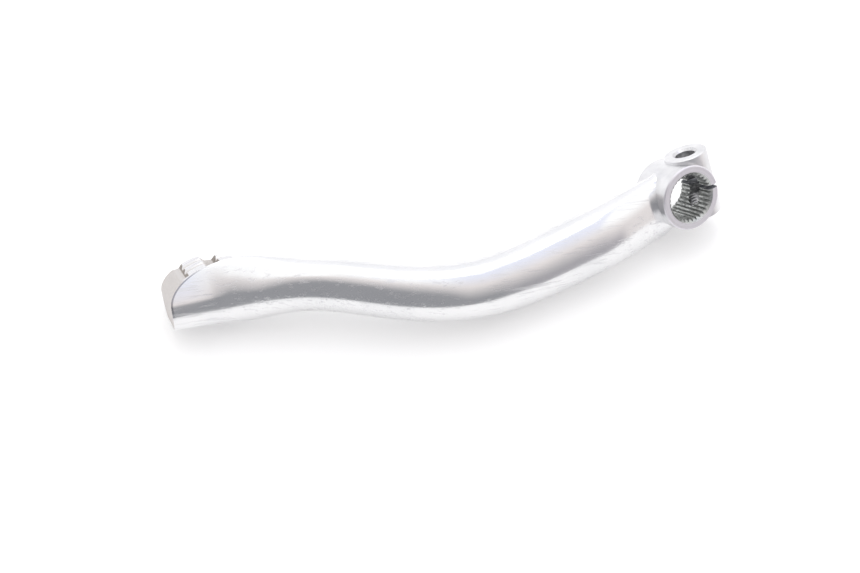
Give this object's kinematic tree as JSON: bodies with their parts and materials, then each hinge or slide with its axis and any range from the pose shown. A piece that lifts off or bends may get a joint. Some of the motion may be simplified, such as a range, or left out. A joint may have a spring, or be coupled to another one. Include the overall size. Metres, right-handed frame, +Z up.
{
  "type": "kick start lever",
  "caption": "One-piece cast kick start lever with a serrated split clamp hub, a curved polished arm and a flared toe with a ridged grip.",
  "frame": {"origin": "centre of the splined bore, halfway along the hub", "axes": "+X back along the hub away from the toe, so the arm reaches towards -X; +Y along the bore, away from the engine; +Z up as fitted, along the pinch bolt and towards the grip"},
  "size_m": [0.1805, 0.0498, 0.0546],
  "materials": {
    "cast_aluminium": "polished, with matt cast faces on the toe's end and grip"
  },
  "bodies": {
    "root": {"kick_lever": "cast_aluminium"}
  },
  "joints": []
}
